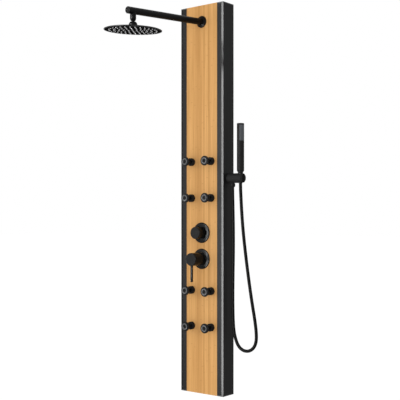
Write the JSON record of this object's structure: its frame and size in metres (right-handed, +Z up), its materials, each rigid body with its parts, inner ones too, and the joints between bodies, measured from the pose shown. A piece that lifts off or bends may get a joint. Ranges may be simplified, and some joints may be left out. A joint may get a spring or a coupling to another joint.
{
  "type": "shower panel column",
  "caption": "Wall-hung shower panel column with bamboo front, swivelling body jets, mixer, diverter, overhead rain head on an arm and a hand shower on a hose.",
  "frame": {"origin": "middle of the four wall screws, on the wall plane, at half the column's height", "axes": "+Z up, +Y into the wall, +X to the right of someone who faces the column"},
  "size_m": [0.3312, 0.5383, 1.45],
  "materials": {
    "bamboo": "lacquered bamboo strips",
    "black_frame": "satin black",
    "black_plastic": "matte",
    "steel": "galvanised",
    "brass": "as cast",
    "black_rubber": "matte",
    "grey_rubber": "matte",
    "white_plastic": "moulded",
    "black_metal": "satin black",
    "black_hose": "smooth satin",
    "spray_face_plastic": "gloss"
  },
  "bodies": {
    "column": {"shower_arm": "black_metal", "arm_escutcheon": "black_metal", "ball_stud": "black_metal", "mixer_escutcheon": "black_metal", "mixer_sleeve": "black_metal", "diverter_escutcheon": "black_metal", "diverter_bonnet": "black_metal", "outlet_holder_body": "black_metal", "hose_outlet_nut": "black_metal", "jet_bases": "black_metal", "bamboo_front_board": "bamboo", "left_side_profile": "black_frame", "right_side_profile": "black_frame", "top_cap": "black_plastic", "bottom_cap": "black_plastic", "wall_brackets": "steel", "hanger_bars": "steel", "hanger_screws": "steel", "arm_inlet_elbow": "brass", "valve_body": "brass", "inlet_nipples": "brass", "arm_riser_pipe": "brass", "jet_feed_pipes": "brass", "handset_feed_pipe": "brass", "outlet_lock_nut": "brass", "shower_hose": "black_hose", "jet_lock_nuts": "brass"},
    "diverter": {"diverter_spindle": "brass", "diverter_knob": "black_metal"},
    "mixer_turret": {"mixer_turret": "black_metal", "mixer_pivot_pin": "steel"},
    "mixer_handle": {"mixer_handle": "black_metal", "mixer_lever": "black_metal"},
    "head_seal": {"ball_seal_ring": "black_rubber"},
    "head_seat": {"ball_seat_ring": "white_plastic"},
    "rain_head": {"swivel_nut": "black_metal", "rain_head_shell": "black_metal", "rain_head_spray_plate": "black_metal", "rain_head_nozzle_mat": "grey_rubber"},
    "hand_shower": {"handset_body": "black_metal", "handset_spray_face": "spray_face_plastic", "handset_end_cap": "black_metal", "hose_cone_nut": "black_metal"},
    "jet_1_ring": {"jet_1_swivel_ring": "black_plastic"},
    "jet_1_head": {"jet_1_head": "black_metal"},
    "jet_2_ring": {"jet_2_swivel_ring": "black_plastic"},
    "jet_2_head": {"jet_2_head": "black_metal"},
    "jet_3_ring": {"jet_3_swivel_ring": "black_plastic"},
    "jet_3_head": {"jet_3_head": "black_metal"},
    "jet_4_ring": {"jet_4_swivel_ring": "black_plastic"},
    "jet_4_head": {"jet_4_head": "black_metal"},
    "jet_5_ring": {"jet_5_swivel_ring": "black_plastic"},
    "jet_5_head": {"jet_5_head": "black_metal"},
    "jet_6_ring": {"jet_6_swivel_ring": "black_plastic"},
    "jet_6_head": {"jet_6_head": "black_metal"},
    "jet_7_ring": {"jet_7_swivel_ring": "black_plastic"},
    "jet_7_head": {"jet_7_head": "black_metal"},
    "jet_8_ring": {"jet_8_swivel_ring": "black_plastic"},
    "jet_8_head": {"jet_8_head": "black_metal"}
  },
  "joints": [
    {"name": "hand_shower_lift", "type": "slide", "parent": "column", "child": "hand_shower", "axis": [0, 0, 1], "range_m": [0, 0.04], "deforming": ["shower_hose"]},
    {"name": "diverter_turn", "type": "hinge", "parent": "column", "child": "diverter", "pos_m": [0, -0.065, -0.1245], "axis": [0, 1, 0], "range_deg": [-90, 90]},
    {"name": "mixer_turn", "type": "hinge", "parent": "column", "child": "mixer_turret", "pos_m": [0, -0.065, -0.222], "axis": [0, 1, 0], "range_deg": [-45, 45]},
    {"name": "mixer_lift", "type": "hinge", "parent": "mixer_turret", "child": "mixer_handle", "pos_m": [0, -0.077, -0.222], "axis": [-1, 0, 0], "range_deg": [0, 20]},
    {"name": "head_spin", "type": "hinge", "parent": "column", "child": "head_seal", "pos_m": [0, -0.44, 0.587], "axis": [0, 0, 1], "continuous": true},
    {"name": "head_tilt_front", "type": "hinge", "parent": "head_seal", "child": "head_seat", "pos_m": [0, -0.44, 0.587], "axis": [1, 0, 0], "range_deg": [-13, 10]},
    {"name": "head_tilt_side", "type": "hinge", "parent": "head_seat", "child": "rain_head", "pos_m": [0, -0.44, 0.587], "axis": [0, 1, 0], "range_deg": [-15, 8]},
    {"name": "jet_1_pan", "type": "hinge", "parent": "column", "child": "jet_1_ring", "pos_m": [-0.046, -0.073, 0.141], "axis": [0, 0, 1], "range_deg": [-12, 12]},
    {"name": "jet_1_tilt", "type": "hinge", "parent": "jet_1_ring", "child": "jet_1_head", "pos_m": [-0.046, -0.073, 0.141], "axis": [1, 0, 0], "range_deg": [-12, 12]},
    {"name": "jet_2_pan", "type": "hinge", "parent": "column", "child": "jet_2_ring", "pos_m": [0.046, -0.073, 0.141], "axis": [0, 0, 1], "range_deg": [-12, 12]},
    {"name": "jet_2_tilt", "type": "hinge", "parent": "jet_2_ring", "child": "jet_2_head", "pos_m": [0.046, -0.073, 0.141], "axis": [1, 0, 0], "range_deg": [-12, 12]},
    {"name": "jet_3_pan", "type": "hinge", "parent": "column", "child": "jet_3_ring", "pos_m": [-0.046, -0.073, 0.005], "axis": [0, 0, 1], "range_deg": [-12, 12]},
    {"name": "jet_3_tilt", "type": "hinge", "parent": "jet_3_ring", "child": "jet_3_head", "pos_m": [-0.046, -0.073, 0.005], "axis": [1, 0, 0], "range_deg": [-12, 12]},
    {"name": "jet_4_pan", "type": "hinge", "parent": "column", "child": "jet_4_ring", "pos_m": [0.046, -0.073, 0.005], "axis": [0, 0, 1], "range_deg": [-12, 12]},
    {"name": "jet_4_tilt", "type": "hinge", "parent": "jet_4_ring", "child": "jet_4_head", "pos_m": [0.046, -0.073, 0.005], "axis": [1, 0, 0], "range_deg": [-12, 12]},
    {"name": "jet_5_pan", "type": "hinge", "parent": "column", "child": "jet_5_ring", "pos_m": [-0.046, -0.073, -0.34], "axis": [0, 0, 1], "range_deg": [-12, 12]},
    {"name": "jet_5_tilt", "type": "hinge", "parent": "jet_5_ring", "child": "jet_5_head", "pos_m": [-0.046, -0.073, -0.34], "axis": [1, 0, 0], "range_deg": [-12, 12]},
    {"name": "jet_6_pan", "type": "hinge", "parent": "column", "child": "jet_6_ring", "pos_m": [0.046, -0.073, -0.34], "axis": [0, 0, 1], "range_deg": [-12, 12]},
    {"name": "jet_6_tilt", "type": "hinge", "parent": "jet_6_ring", "child": "jet_6_head", "pos_m": [0.046, -0.073, -0.34], "axis": [1, 0, 0], "range_deg": [-12, 12]},
    {"name": "jet_7_pan", "type": "hinge", "parent": "column", "child": "jet_7_ring", "pos_m": [-0.046, -0.073, -0.474], "axis": [0, 0, 1], "range_deg": [-12, 12]},
    {"name": "jet_7_tilt", "type": "hinge", "parent": "jet_7_ring", "child": "jet_7_head", "pos_m": [-0.046, -0.073, -0.474], "axis": [1, 0, 0], "range_deg": [-12, 12]},
    {"name": "jet_8_pan", "type": "hinge", "parent": "column", "child": "jet_8_ring", "pos_m": [0.046, -0.073, -0.474], "axis": [0, 0, 1], "range_deg": [-12, 12]},
    {"name": "jet_8_tilt", "type": "hinge", "parent": "jet_8_ring", "child": "jet_8_head", "pos_m": [0.046, -0.073, -0.474], "axis": [1, 0, 0], "range_deg": [-12, 12]}
  ]
}
